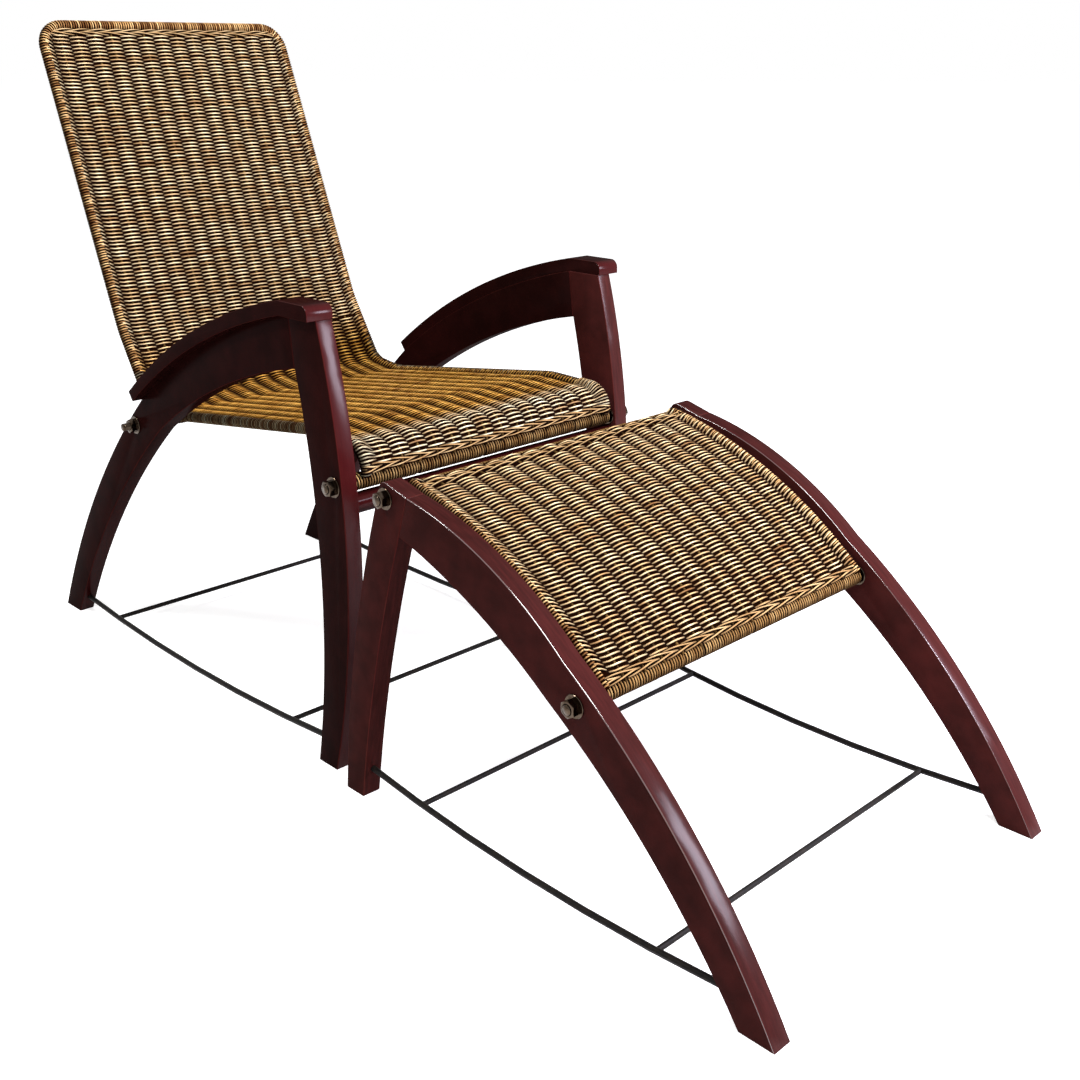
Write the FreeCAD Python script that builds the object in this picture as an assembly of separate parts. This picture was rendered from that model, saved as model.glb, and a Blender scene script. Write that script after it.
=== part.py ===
import FreeCAD, Part
import math
import os

# Planters chair with a loose footrest. Millimetres, +Z up, the chair faces -Y.
# The origin is on the floor under the middle of the chair and footrest together.

# Chair sides
chair_reach = 823.0
arm_height = 632.0
chair_inner_width = 490.0
leg_thickness = 25.0

# Arm caps
cap_thickness = 20.0
cap_tip_thickness = 17.0
cap_width = 40.0
cap_nose_overhang = 3.0
cap_nose_radius = 12.0

# Footrest sides
rest_gap = 45.0
rest_reach = 708.0
rest_height = 460.0
rest_inner_width = 516.0
rest_thickness = 27.4
rest_head_radius = 11.0

# Joints in the wood
tenon_length = 20.0
tenon_height = 36.0
tenon_thickness = 9.0
rail_tenon_height = 30.0
dowel_diameter = 8.0
dowel_length = 26.0

# Through rods and their fasteners
rod_diameter = 12.0
rod_hole_clearance = 0.4
washer_diameter = 28.0
washer_thickness = 2.0
nut_width = 19.0
nut_height = 10.0
rod_stub = 2.0
rear_rod_stub = 11.0

# Woven seat, back and footrest
roll_diameter = 24.0
frame_diameter = 15.0
frame_side_gap = 11.5
weave_crest_thickness = 9.0
weave_waist_thickness = 3.6
front_rail_diameter = 28.0
front_rail_drop = 29.0
back_corner_radius = 38.0
lip_radius = 32.0
crest_radius = 150.0
saddle_radius = 60.0
bend_radius = 40.0
lumbar_radius = 150.0
rest_side_gap = 10.0
rest_frame_diameter = 14.0

# Iron stretchers
stretcher_diameter = 8.0
cross_diameter = 7.0

# Overruns for cuts
overrun = 5.0

# Sides of the bent bars, rolls, washers and small holes, kept low for a light model,
# and how far the straight chords of a bent bar may stray from its curve
bar_sides = 10
roll_sides = 20
washer_sides = 16
hole_sides = 8
chord_sag = 0.6

# Stakes that the reed is woven over
seat_stakes = 14
rest_stakes = 14

# Chair outlines, as shares of the chair's reach and the arm's height
leg_front_shares = ((0.0, 1.0), (-0.0547, 0.5), (0.0, 0.0))
leg_rear_shares = ((0.0503, 0.0), (0.0184, 0.435), (0.0632, 0.889))
leg_shoulder_share = (0.0741, 1.0)
bow_top_shares = ((0.0741, 1.0), (0.322, 0.894), (0.577, 0.701))
bow_rear_shares = ((0.577, 0.701), (0.791, 0.416), (1.0, 0.0))
bow_inner_shares = ((0.938, 0.0), (0.7363, 0.367), (0.5152, 0.641))
bow_under_shares = ((0.5152, 0.641), (0.2916, 0.7975), (0.0632, 0.889))
front_bolt_share = (-0.028, 0.6614)
rear_bolt_share = (0.6075, 0.6297)
stretcher_shares = ((0.031, 0.0554), (0.45, 0.0237), (0.934, 0.0478))
cross_front_share = 0.152
cross_rear_share = 0.79
dowel_shares = (0.15, 0.5, 0.85)
round_corner_share = 0.29

# Line of the seat and back from the front lip to the top of the back. The lip ends in the
# front roll, as a share of the lip's radius below it
lip_lean_share = 0.0073
lip_drop_share = 1.3
lip_share = (-0.0486, 0.7326)
crest_share = (0.0972, 0.7373)
saddle_share = (0.5687, 0.6519)
bend_share = (0.6488, 0.6646)
lumbar_share = (0.7339, 0.8354)
back_top_share = (0.9696, 1.579)

# Footrest outlines, as shares of the footrest's reach and height
rest_leg_rear_shares = ((0.0, 0.0), (0.0805, 0.713), (0.1328, 0.974))
rest_head_share = (0.137, 1.0)
rest_shoulder_share = (0.2076, 0.9717)
rest_joint_share = (0.1836, 0.8565)
rest_leg_front_shares = ((0.1836, 0.8565), (0.0918, 0.348), (0.0508, 0.0))
rail_top_shares = ((0.2076, 0.9717), (0.4025, 0.8804), (0.5777, 0.7065))
rail_front_shares = ((0.5777, 0.7065), (0.8008, 0.413), (1.0, 0.0))
rail_inner_shares = ((0.935, 0.0), (0.7387, 0.35), (0.5424, 0.587))
rail_under_shares = ((0.5424, 0.587), (0.3771, 0.7413), (0.1836, 0.8565))
rest_rear_bolt_share = (0.1497, 0.95)
rest_front_bolt_share = (0.6045, 0.6065)
rest_stretcher_shares = ((0.044, 0.089), (0.57, 0.0413), (0.895, 0.0674))
rest_cross_rear_share = 0.203
rest_cross_front_share = 0.763
rest_line_shares = ((0.1497, 0.984), (0.408, 0.8522), (0.6172, 0.6335))

origin_shift = (chair_reach - rest_gap - rest_reach) / 2
leg_inner = chair_inner_width / 2
rest_inner = rest_inner_width / 2
roll_radius = roll_diameter / 2
frame_radius = frame_diameter / 2
seat_half_width = leg_inner - frame_side_gap - frame_radius
rest_frame_radius = rest_frame_diameter / 2
rest_half_width = rest_inner - rest_side_gap - rest_frame_radius
pieces = {}


def vector(x, y, z):
    return FreeCAD.Vector(x, y, z)


def chair_point(share, x=0):
    """A point of the chair's side view at the distance x from the middle."""
    return vector(x, share[0] * chair_reach - origin_shift, share[1] * arm_height)


def rest_point(share, x=0):
    """A point of the footrest's side view at the distance x from the middle."""
    return vector(x, -rest_gap - share[0] * rest_reach - origin_shift, share[1] * rest_height)


def line(start, end):
    return Part.LineSegment(start, end).toShape()


def arc(points):
    return Part.Arc(*points).toShape()


def arc_through(place, shares):
    return arc([place(share) for share in shares])


def board(edges, inner_face, thickness):
    """A flat board cut to an outline, on the right side of the seat (-X)."""
    face = Part.Face(Part.Wire(edges))
    solid = face.extrude(vector(-thickness, 0, 0))
    solid.translate(vector(-inner_face, 0, 0))
    return solid


def rod_between(start, end, radius):
    return Part.makeCylinder(radius, (end - start).Length, start, end - start)


def polygon(centre, direction, radius, sides):
    """Corners of a regular polygon, square to a direction, with its flats at the radius."""
    direction = direction.normalize()
    across = direction.cross(vector(0, 1, 0))
    if across.Length < math.sin(math.pi / sides):
        across = direction.cross(vector(0, 0, 1))
    across = across.normalize() * (radius / math.cos(math.pi / sides))
    upright = direction.cross(across)
    turns = [math.tau * (index + 1 / 2) / sides for index in range(sides)]
    return [centre + across * math.cos(turn) + upright * math.sin(turn) for turn in turns]


def facet(corners):
    return Part.Face(Part.makePolygon(corners + corners[:1]))


def prism_between(start, end, radius, sides):
    return facet(polygon(start, end - start, radius, sides)).extrude(end - start)


def mirrored(shape):
    return shape.mirror(vector(0, 0, 0), vector(1, 0, 0))


def both_sides(name, shape):
    """The same piece on the sitter's right (-X) and left (+X)."""
    pieces["right_" + name] = shape
    pieces["left_" + name] = mirrored(shape)


def tangent_path(points, radii):
    """Straight runs joined by tangent arcs, one radius for each inner point."""
    edges = []
    start = points[0]
    for index, radius in enumerate(radii):
        before, corner, after = points[index:index + 3]
        back = (before - corner).normalize()
        ahead = (after - corner).normalize()
        half_angle = back.getAngle(ahead) / 2
        reach = radius / math.tan(half_angle)
        middle = (back + ahead).normalize()
        arc_start = corner + back * reach
        arc_end = corner + ahead * reach
        arc_middle = corner + middle * (radius / math.sin(half_angle) - radius)
        edges.append(line(start, arc_start))
        edges.append(arc([arc_start, arc_middle, arc_end]))
        start = arc_end
    edges.append(line(start, points[-1]))
    return Part.Wire(edges)


def chords(path):
    """Corners of the straight chords that follow a path."""
    corners = [path.OrderedEdges[0].firstVertex(True).Point]
    for edge in path.OrderedEdges:
        count = 1
        if hasattr(edge.Curve, "Radius"):
            radius = edge.Curve.Radius
            count = math.ceil(edge.Length / radius / math.acos(1 - chord_sag / radius) / 2)
        points = edge.discretize(count + 1)
        if (points[-1] - corners[-1]).Length < (points[0] - corners[-1]).Length:
            points.reverse()
        corners += points[1:]
    return corners


def swept(corners, section):
    """A section carried along straight chords and mitred where they meet."""
    loops = [section]
    for index in range(1, len(corners)):
        here = corners[index]
        back = (here - corners[index - 1]).normalize()
        mitre = back
        if index + 1 < len(corners):
            mitre = back + (corners[index + 1] - here).normalize()
        reach = back.dot(mitre)
        loops.append([point + back * ((here - point).dot(mitre) / reach) for point in loops[-1]])
    faces = [facet(loops[0]), facet(loops[-1])]
    for near, far in zip(loops, loops[1:]):
        faces += [facet([near[i - 1], near[i], far[i], far[i - 1]]) for i in range(len(section))]
    solid = Part.Solid(Part.Shell(faces))
    if solid.Volume < 0:
        solid.reverse()
    return solid


def pipe(path, radius):
    """A bent bar along a path."""
    corners = chords(path)
    return swept(corners, polygon(corners[0], corners[1] - corners[0], radius, bar_sides))


def woven_strip(path, half_width, bar_radius, stakes):
    """A woven panel that follows a path in the side view, between bars whose centres lie at the
    half width. Its reed rises over each stake and sinks between them."""
    half_gap = half_width / (stakes + 1)
    places = [half_gap * index - half_width for index in range(1, 2 * stakes + 2)]
    rises = [weave_waist_thickness / 2, weave_crest_thickness / 2] * stakes + [weave_waist_thickness / 2]
    edge = half_width - bar_radius
    profile = [(-edge, rises[1])] + list(zip(places, rises)) + [(edge, rises[1])]
    corners = chords(path)
    rise = (corners[1] - corners[0]).cross(vector(1, 0, 0)).normalize()
    upper = [corners[0] + vector(x, 0, 0) + rise * height for x, height in profile]
    lower = [corners[0] + vector(x, 0, 0) - rise * height for x, height in reversed(profile)]
    return swept(corners, upper + lower)


def largest(shape):
    return max(shape.Solids, key=lambda solid: solid.Volume)


def joined(shapes):
    return Part.makeCompound(shapes)


def tenon_at(low, high, side, height, inner_face, thickness):
    """A flat tenon square to the joint line from low to high, on its front (-1) or rear (1) side."""
    up = (high - low).normalize()
    out = vector(side, 0, 0).cross(up) * -1
    middle = (low + high) / 2
    corners = [
        middle - up * (height / 2),
        middle + up * (height / 2),
        middle + up * (height / 2) + out * tenon_length,
        middle - up * (height / 2) + out * tenon_length,
    ]
    edges = [line(corners[i - 1], corners[i]) for i in range(len(corners))]
    side = inner_face + (thickness - tenon_thickness) / 2
    return board(edges, side, tenon_thickness)


def bolt_hole(centre, half_span):
    """A clearance hole for a through rod, right across the object."""
    across = vector(half_span + overrun, 0, 0)
    return rod_between(centre - across, centre + across, (rod_diameter + rod_hole_clearance) / 2)


def through_rod(centre, half_span, stub):
    across = vector(half_span + washer_thickness + nut_height + stub, 0, 0)
    return rod_between(centre - across, centre + across, rod_diameter / 2)


def washer(centre, x):
    start = centre + vector(x, 0, 0)
    end = start + vector(washer_thickness, 0, 0)
    disc = prism_between(start, end, washer_diameter / 2, washer_sides)
    return disc.cut(prism_between(start, end, rod_diameter / 2, hole_sides))


def washer_pair(centre, x):
    right = washer(centre, -x - washer_thickness)
    return [right, washer(centre, x)]


def nut(centre, x, outward):
    """A hexagon nut on the face at x."""
    start = centre + vector(x, 0, 0)
    end = start + vector(outward * nut_height, 0, 0)
    hexagon = prism_between(start, end, nut_width / 2, 6)
    return hexagon.cut(prism_between(start, end, rod_diameter / 2, hole_sides))


def nut_pair(centre, face):
    return [nut(centre, -face, -1), nut(centre, face, 1)]


def wrapped_roll(centre, half_length, radius):
    """The woven roll around a through rod, between the inner washers."""
    across = vector(half_length, 0, 0)
    outer = prism_between(centre - across, centre + across, radius, roll_sides)
    return outer.cut(prism_between(centre - across, centre + across, rod_diameter / 2, hole_sides))


def height_on(arc_edge, y):
    """The height of a hanging arc at y."""
    centre = arc_edge.Curve.Center
    return centre.z - math.sqrt(arc_edge.Curve.Radius ** 2 - (y - centre.y) ** 2)


def cross_bar(arc_edge, y, side_x, side_bars):
    height = height_on(arc_edge, y)
    ends = vector(-side_x, y, height), vector(side_x, y, height)
    bar = prism_between(*ends, cross_diameter / 2, bar_sides)
    return largest(bar.cut(joined(side_bars)))


# Through rods: where they pass
front_bolt = chair_point(front_bolt_share)
rear_bolt = chair_point(rear_bolt_share)
rest_rear_bolt = rest_point(rest_rear_bolt_share)
rest_front_bolt = rest_point(rest_front_bolt_share)
leg_outer = leg_inner + leg_thickness
rest_outer = rest_inner + rest_thickness


def chair_stretchers():
    side_x = leg_inner + leg_thickness / 2
    hanging = arc([chair_point(share, -side_x) for share in stretcher_shares])
    side = pipe(Part.Wire(hanging), stretcher_diameter / 2)
    both_sides("side_stretcher", side)
    side_bars = [side, mirrored(side)]
    front_y = cross_front_share * chair_reach - origin_shift
    rear_y = cross_rear_share * chair_reach - origin_shift
    pieces["front_cross_stretcher"] = cross_bar(hanging, front_y, side_x, side_bars)
    pieces["rear_cross_stretcher"] = cross_bar(hanging, rear_y, side_x, side_bars)
    return side


def chair_front_leg(stretcher):
    leg = board([
        arc_through(chair_point, leg_front_shares),
        line(chair_point(leg_front_shares[-1]), chair_point(leg_rear_shares[0])),
        arc_through(chair_point, leg_rear_shares),
        line(chair_point(leg_rear_shares[-1]), chair_point(leg_shoulder_share)),
        line(chair_point(leg_shoulder_share), chair_point(leg_front_shares[0])),
    ], leg_inner, leg_thickness)
    return leg.cut(stretcher).cut(bolt_hole(front_bolt, leg_outer))


def arm_bow(stretcher):
    """The arm's arch and the rear leg, bent from one piece."""
    bow = board([
        arc_through(chair_point, bow_top_shares),
        arc_through(chair_point, bow_rear_shares),
        line(chair_point(bow_rear_shares[-1]), chair_point(bow_inner_shares[0])),
        arc_through(chair_point, bow_inner_shares),
        arc_through(chair_point, bow_under_shares),
        line(chair_point(bow_under_shares[-1]), chair_point(bow_top_shares[0])),
    ], leg_inner, leg_thickness)
    return bow.cut(stretcher).cut(bolt_hole(rear_bolt, leg_outer))


def arm_cap():
    """The flat cap on the leg and the arch, flush inside and overhanging outside."""
    seat_start, seat_middle, seat_end = [chair_point(share) for share in bow_top_shares]
    nose_low = chair_point(leg_front_shares[0]) - vector(0, cap_nose_overhang, 0)
    nose_high = nose_low + vector(0, 0, cap_thickness - cap_nose_radius)
    nose_centre = nose_high + vector(0, cap_nose_radius, 0)
    nose_top = nose_centre + vector(0, 0, cap_nose_radius)
    slant = cap_nose_radius / math.sqrt(2)
    top_start = seat_start + vector(0, 0, cap_thickness)
    centre = arc([seat_start, seat_middle, seat_end]).Curve.Center
    outward = (seat_middle - centre).normalize()
    tip_outward = (seat_end - centre).normalize()
    top_middle = seat_middle + outward * cap_thickness
    top_end = seat_end + tip_outward * cap_tip_thickness
    return board([
        line(nose_low, nose_high),
        arc([nose_high, nose_centre + vector(0, -slant, slant), nose_top]),
        line(nose_top, top_start),
        arc([top_start, top_middle, top_end]),
        line(top_end, seat_end),
        arc([seat_end, seat_middle, seat_start]),
        line(seat_start, nose_low),
    ], leg_inner, cap_width)


def cap_dowels():
    """Dowels that hold a cap down, square to the arch's top."""
    crown = arc_through(chair_point, bow_top_shares)
    centre = crown.Curve.Center
    span = crown.LastParameter - crown.FirstParameter
    dowels = []
    for share in dowel_shares:
        foot = crown.valueAt(crown.FirstParameter + span * share)
        foot.x = -leg_inner - leg_thickness / 2
        outward = vector(0, foot.y - centre.y, foot.z - centre.z).normalize()
        start = foot - outward * (dowel_length / 2)
        dowels.append(prism_between(start, start + outward * dowel_length, dowel_diameter / 2, hole_sides))
    return joined(dowels)


def chair_sides():
    stretcher = chair_stretchers()
    leg = chair_front_leg(stretcher)
    bow = arm_bow(stretcher)
    tenon = tenon_at(chair_point(leg_rear_shares[-1]), chair_point(leg_shoulder_share), -1,
                     tenon_height, leg_inner, leg_thickness)
    dowels = cap_dowels()
    both_sides("front_leg", leg.cut(tenon))
    both_sides("arm_bow", bow.fuse(tenon).removeSplitter().cut(dowels))
    both_sides("arm_cap", arm_cap().cut(dowels))
    both_sides("arm_cap_dowels", dowels)


def seat_points(x):
    shares = (lip_share, crest_share, saddle_share, bend_share, lumbar_share, back_top_share)
    points = [chair_point(share, x) for share in shares]
    lip_end = points[0] + vector(0, lip_lean_share * chair_reach, -lip_drop_share * lip_radius)
    return [lip_end] + points


def seat_and_back():
    """The wrapped edge frame, bent from one bar, and the woven panel inside it."""
    rolls = joined([pieces["seat_front_roll"], pieces["seat_rear_roll"]])
    rods = joined([pieces["front_through_rod"], pieces["rear_through_rod"]])
    bends = [lip_radius, crest_radius, saddle_radius, bend_radius, lumbar_radius]
    right = seat_points(-seat_half_width)
    left = seat_points(seat_half_width)
    corners = [back_corner_radius, back_corner_radius]
    hoop = tangent_path(right + left[::-1], bends + corners + bends[::-1])
    frame = pipe(hoop, frame_radius)
    pieces["seat_edge_frame"] = largest(frame.cut(rolls).cut(rods))
    line_points = seat_points(0)
    top, below = line_points[-1], line_points[-2]
    line_points[-1] = top + (below - top).normalize() * frame_radius
    panel = woven_strip(tangent_path(line_points, bends), seat_half_width, frame_radius, seat_stakes)
    pieces["woven_seat_and_back"] = largest(panel.cut(frame).cut(rolls).cut(rods))


def chair_rods():
    pieces["front_through_rod"] = through_rod(front_bolt, leg_outer, rod_stub)
    pieces["rear_through_rod"] = through_rod(rear_bolt, leg_outer, rear_rod_stub)
    roll_end = leg_inner - washer_thickness
    pieces["seat_front_roll"] = wrapped_roll(front_bolt, roll_end, roll_radius)
    pieces["seat_rear_roll"] = wrapped_roll(rear_bolt, roll_end, roll_radius)
    below = vector(0, 0, -front_rail_drop)
    across = vector(leg_inner, 0, 0)
    pieces["front_rail"] = rod_between(front_bolt + below - across, front_bolt + below + across,
                                       front_rail_diameter / 2)
    bolts = [front_bolt, rear_bolt]
    pieces["outer_washers"] = joined([part for bolt in bolts for part in washer_pair(bolt, leg_outer)])
    pieces["inner_washers"] = joined([part for bolt in bolts for part in washer_pair(bolt, roll_end)])
    nut_face = leg_outer + washer_thickness
    pieces["hex_nuts"] = joined([part for bolt in bolts for part in nut_pair(bolt, nut_face)])


def rest_stretchers():
    side_x = rest_inner + rest_thickness / 2
    hanging = arc([rest_point(share, -side_x) for share in rest_stretcher_shares])
    side = pipe(Part.Wire(hanging), stretcher_diameter / 2)
    both_sides("footrest_side_stretcher", side)
    side_bars = [side, mirrored(side)]
    rear_y = -rest_gap - rest_cross_rear_share * rest_reach - origin_shift
    front_y = -rest_gap - rest_cross_front_share * rest_reach - origin_shift
    pieces["footrest_rear_cross_stretcher"] = cross_bar(hanging, rear_y, side_x, side_bars)
    pieces["footrest_front_cross_stretcher"] = cross_bar(hanging, front_y, side_x, side_bars)
    return side


def rest_leg():
    """The footrest's rear leg, with its head rounded at the back."""
    rear_top = rest_point(rest_leg_rear_shares[-1])
    head = rest_point(rest_head_share)
    shoulder = rest_point(rest_shoulder_share)
    along = (shoulder - head).normalize()
    head_end = head + along * rest_head_radius
    head_middle = head + ((rear_top - head) + (head_end - head)) * round_corner_share
    return board([
        arc_through(rest_point, rest_leg_rear_shares),
        arc([rear_top, head_middle, head_end]),
        line(head_end, shoulder),
        line(shoulder, rest_point(rest_joint_share)),
        arc_through(rest_point, rest_leg_front_shares),
        line(rest_point(rest_leg_front_shares[-1]), rest_point(rest_leg_rear_shares[0])),
    ], rest_inner, rest_thickness)


def rest_rail():
    """The footrest's curved rail, which is its front leg too."""
    return board([
        arc_through(rest_point, rail_top_shares),
        arc_through(rest_point, rail_front_shares),
        line(rest_point(rail_front_shares[-1]), rest_point(rail_inner_shares[0])),
        arc_through(rest_point, rail_inner_shares),
        arc_through(rest_point, rail_under_shares),
        line(rest_point(rail_under_shares[-1]), rest_point(rail_top_shares[0])),
    ], rest_inner, rest_thickness)


def rest_sides():
    stretcher = rest_stretchers()
    tenon = tenon_at(rest_point(rest_joint_share), rest_point(rest_shoulder_share), 1,
                     rail_tenon_height, rest_inner, rest_thickness)
    leg = rest_leg().cut(tenon).cut(stretcher).cut(bolt_hole(rest_rear_bolt, rest_outer))
    rail = rest_rail().fuse(tenon).removeSplitter()
    both_sides("footrest_rear_leg", leg)
    both_sides("footrest_rail", rail.cut(stretcher).cut(bolt_hole(rest_front_bolt, rest_outer)))


def rest_rods():
    pieces["footrest_rear_rod"] = through_rod(rest_rear_bolt, rest_outer, rod_stub)
    pieces["footrest_front_rod"] = through_rod(rest_front_bolt, rest_outer, rod_stub)
    roll_end = rest_inner - washer_thickness
    pieces["footrest_rear_roll"] = wrapped_roll(rest_rear_bolt, roll_end, roll_radius)
    pieces["footrest_front_roll"] = wrapped_roll(rest_front_bolt, roll_end, roll_radius)
    bolts = [rest_rear_bolt, rest_front_bolt]
    nut_face = rest_outer + washer_thickness
    outer_washers = [part for bolt in bolts for part in washer_pair(bolt, rest_outer)]
    inner_washers = [part for bolt in bolts for part in washer_pair(bolt, roll_end)]
    pieces["footrest_outer_washers"] = joined(outer_washers)
    pieces["footrest_inner_washers"] = joined(inner_washers)
    pieces["footrest_hex_nuts"] = joined([part for bolt in bolts for part in nut_pair(bolt, nut_face)])


def rest_panel():
    """The curved woven panel and the wrapped bars along its sides."""
    rolls = joined([pieces["footrest_rear_roll"], pieces["footrest_front_roll"]])
    rods = joined([pieces["footrest_rear_rod"], pieces["footrest_front_rod"]])
    side = arc([rest_point(share, -rest_half_width) for share in rest_line_shares])
    bar = pipe(Part.Wire(side), rest_frame_radius)
    both_sides("footrest_edge_bar", largest(bar.cut(rolls).cut(rods)))
    middle = Part.Wire(arc_through(rest_point, rest_line_shares))
    panel = woven_strip(middle, rest_half_width, rest_frame_radius, rest_stakes)
    pieces["footrest_woven_panel"] = largest(panel.cut(rolls).cut(rods))


chair_sides()
chair_rods()
seat_and_back()
rest_sides()
rest_rods()
rest_panel()

os.makedirs("parts", exist_ok=True)
for name, shape in pieces.items():
    shape.exportStep("parts/" + name + ".step")
    print(name, len(shape.Solids), round(shape.Volume), shape.isValid())
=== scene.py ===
import math
import random

import bmesh
import bpy
import numpy as np
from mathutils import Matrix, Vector


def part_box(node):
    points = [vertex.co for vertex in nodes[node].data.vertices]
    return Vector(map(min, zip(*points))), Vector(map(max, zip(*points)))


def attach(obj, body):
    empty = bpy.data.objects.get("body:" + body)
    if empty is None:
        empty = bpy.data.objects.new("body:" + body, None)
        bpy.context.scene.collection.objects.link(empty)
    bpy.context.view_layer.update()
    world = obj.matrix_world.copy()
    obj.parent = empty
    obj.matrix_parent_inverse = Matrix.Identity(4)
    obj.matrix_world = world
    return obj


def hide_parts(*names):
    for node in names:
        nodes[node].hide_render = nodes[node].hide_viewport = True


# Planters chair with a loose footrest: lacquered wood, woven reed, iron stretchers
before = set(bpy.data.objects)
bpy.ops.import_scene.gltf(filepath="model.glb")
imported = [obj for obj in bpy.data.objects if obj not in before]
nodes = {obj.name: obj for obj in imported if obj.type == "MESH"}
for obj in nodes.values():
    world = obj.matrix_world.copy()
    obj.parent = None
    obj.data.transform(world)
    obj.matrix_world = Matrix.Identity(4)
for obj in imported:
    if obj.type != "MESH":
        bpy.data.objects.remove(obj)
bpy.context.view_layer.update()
scene = bpy.context.scene
mm = 0.001
mergeDistance = 0.001 * mm
print("frame loaded, nodes:", len(nodes))


def lerp(low, high, share):
    return low + (high - low) * share


def smoothStep(low, high, value):
    share = np.clip((value - low) / (high - low), 0, 1)
    return share * share * (3 - 2 * share)


def clamp(value, low=0.0, high=1.0):
    return min(max(value, low), high)


# Camera at the photograph's viewing angle, set in the part's own frame
cameraSet = {"place": (-1.2171, -1.4116, 0.9507), "yaw": -44.23, "pitch": -16.49,
             "lens": 44.44, "sensor": 36.0, "shiftY": -0.0833, "clipEnd": 50.0}


def makeCamera():
    data = bpy.data.cameras.new("camera")
    data.lens = cameraSet["lens"]
    data.sensor_width = cameraSet["sensor"]
    data.shift_y = cameraSet["shiftY"]
    data.dof.use_dof = False
    data.clip_end = cameraSet["clipEnd"]
    camera = bpy.data.objects.new("camera", data)
    camera.location = cameraSet["place"]
    camera.rotation_euler = (math.radians(90 + cameraSet["pitch"]), 0, math.radians(cameraSet["yaw"]))
    scene.collection.objects.link(camera)
    scene.camera = camera


# Studio: a pale floor, a soft key from above, a rim lamp behind, a cool fill in front and an even world
studioSet = {"floorSize": 120.0, "floorColor": (0.8, 0.8, 0.8), "floorRoughness": 0.9, "floorGlow": 0.67,
             "worldStrength": 0.42, "lampTarget": (0, 0, 0.4)}
lampSet = {"key": {"power": 142.0, "size": 1.2, "place": (-0.5, -1.45, 3.1), "color": (1, 1, 1)},
           "rim": {"power": 38.0, "size": 0.5, "place": (-1.9, 1.1, 2.5), "color": (1, 1, 1)},
           "fill": {"power": 85.0, "size": 0.75, "place": (1.1, -1.95, 1.08), "color": (0.88, 0.84, 1.0)}}


def makeLamp(name):
    settings = lampSet[name]
    data = bpy.data.lights.new(name, "AREA")
    data.energy = settings["power"]
    data.color = settings["color"]
    data.size = settings["size"]
    lamp = bpy.data.objects.new(name, data)
    lamp.location = settings["place"]
    view = Vector(studioSet["lampTarget"]) - Vector(settings["place"])
    lamp.rotation_euler = view.to_track_quat("-Z", "Y").to_euler()
    scene.collection.objects.link(lamp)


# A mix whose second shader shows only where the camera, a gloss or a glass ray looks.
def whiteForCamera(owner, shaded):
    link = owner.node_tree.links.new
    path = addNode(owner, "ShaderNodeLightPath")
    looks = path.outputs["Is Camera Ray"]
    for ray in ("Is Glossy Ray", "Is Transmission Ray"):
        either = addNode(owner, "ShaderNodeMath", operation="MAXIMUM")
        link(looks, either.inputs[0])
        link(path.outputs[ray], either.inputs[1])
        looks = either.outputs[0]
    mix = addNode(owner, "ShaderNodeMixShader")
    link(looks, mix.inputs["Fac"])
    link(shaded, mix.inputs[1])
    return mix


def makeWorld():
    world = bpy.data.worlds.new("studio")
    scene.world = world
    world.use_nodes = True
    even = world.node_tree.nodes["Background"]
    even.inputs["Color"].default_value = (1, 1, 1, 1)
    even.inputs["Strength"].default_value = studioSet["worldStrength"]
    white = addNode(world, "ShaderNodeBackground", Color=(1, 1, 1, 1))
    mix = whiteForCamera(world, even.outputs[0])
    link = world.node_tree.links.new
    link(white.outputs[0], mix.inputs[2])
    link(mix.outputs[0], world.node_tree.nodes["World Output"].inputs["Surface"])


# The floor glows for the camera, so that it ends as white as the world and still keeps its shadow.
def makeFloor():
    mesh = bpy.data.meshes.new("floor")
    bm = bmesh.new()
    bmesh.ops.create_grid(bm, x_segments=1, y_segments=1, size=studioSet["floorSize"] / 2)
    bm.to_mesh(mesh)
    bm.free()
    floor = bpy.data.objects.new("floor", mesh)
    scene.collection.objects.link(floor)
    material, shader = newMaterial("pale_floor", studioSet["floorColor"], studioSet["floorRoughness"])
    glow = addNode(material, "ShaderNodeEmission", Strength=studioSet["floorGlow"])
    both = addNode(material, "ShaderNodeAddShader")
    link = material.node_tree.links.new
    link(shader.outputs[0], both.inputs[0])
    link(glow.outputs[0], both.inputs[1])
    mix = whiteForCamera(material, shader.outputs[0])
    link(both.outputs[0], mix.inputs[2])
    link(mix.outputs[0], material.node_tree.nodes["Material Output"].inputs["Surface"])
    mesh.materials.append(material)


def makeStudio():
    makeWorld()
    for name in lampSet:
        makeLamp(name)
    makeFloor()
    scene.view_settings.view_transform = "Standard"


# A material with its Principled shader, whose plain values are set on the shader itself.
def newMaterial(name, color, roughness, specular=0.0):
    material = bpy.data.materials.new(name)
    material.use_nodes = True
    shader = material.node_tree.nodes["Principled BSDF"]
    shader.inputs["Base Color"].default_value = (*color, 1)
    shader.inputs["Roughness"].default_value = roughness
    shader.inputs["Specular IOR Level"].default_value = specular
    return material, shader


# A shader node of a material or the world. Each value is a setting of the node where it has one of that
# name, or else an input.
def addNode(owner, kind, **values):
    node = owner.node_tree.nodes.new(kind)
    for name, value in values.items():
        if hasattr(node, name):
            setattr(node, name, value)
        else:
            node.inputs[name].default_value = value
    return node


# Noise on the piece's own coordinates, stretched along an axis.
def addNoise(material, coordinate, scale, detail, stretch=(1, 1, 1)):
    link = material.node_tree.links.new
    mapping = addNode(material, "ShaderNodeMapping", Scale=stretch)
    noise = addNode(material, "ShaderNodeTexNoise", Scale=scale, Detail=detail)
    link(coordinate, mapping.inputs["Vector"])
    link(mapping.outputs["Vector"], noise.inputs["Vector"])
    return noise.outputs["Fac"]


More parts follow.
